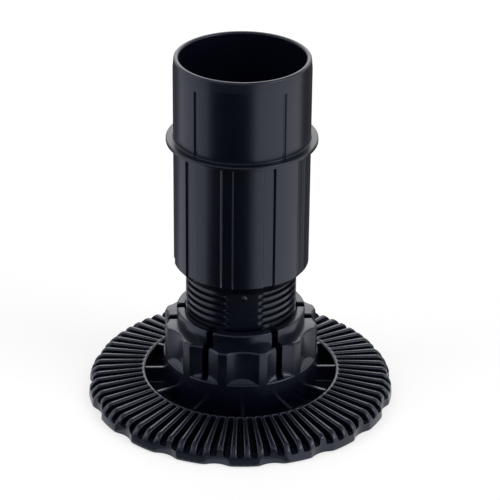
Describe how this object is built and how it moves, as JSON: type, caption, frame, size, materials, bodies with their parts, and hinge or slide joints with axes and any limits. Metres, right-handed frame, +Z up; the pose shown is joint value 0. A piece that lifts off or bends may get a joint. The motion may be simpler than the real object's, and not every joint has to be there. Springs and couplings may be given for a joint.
{
  "type": "adjustable furniture leg",
  "caption": "Black plastic furniture leg: a hollow spigot tube that screws into a wide ribbed foot with a lobed, split collar, so that its height can be set by turning the foot.",
  "frame": {"origin": "centre of the foot's underside, on the floor", "axes": "+Z up along the screw axis, from the floor to the spigot; -Y towards the front of the picture"},
  "size_m": [0.0996, 0.1, 0.1173],
  "materials": {
    "foot_plastic": "satin moulded black plastic",
    "leg_plastic": "satin moulded black plastic"
  },
  "bodies": {
    "foot": {"screw_foot": "foot_plastic"},
    "leg": {"leg_tube": "leg_plastic"}
  },
  "joints": [
    {"name": "height_screw", "type": "slide", "parent": "foot", "child": "leg", "axis": [0, 0, 1], "range_m": [-0.0096, 0.0096]}
  ]
}
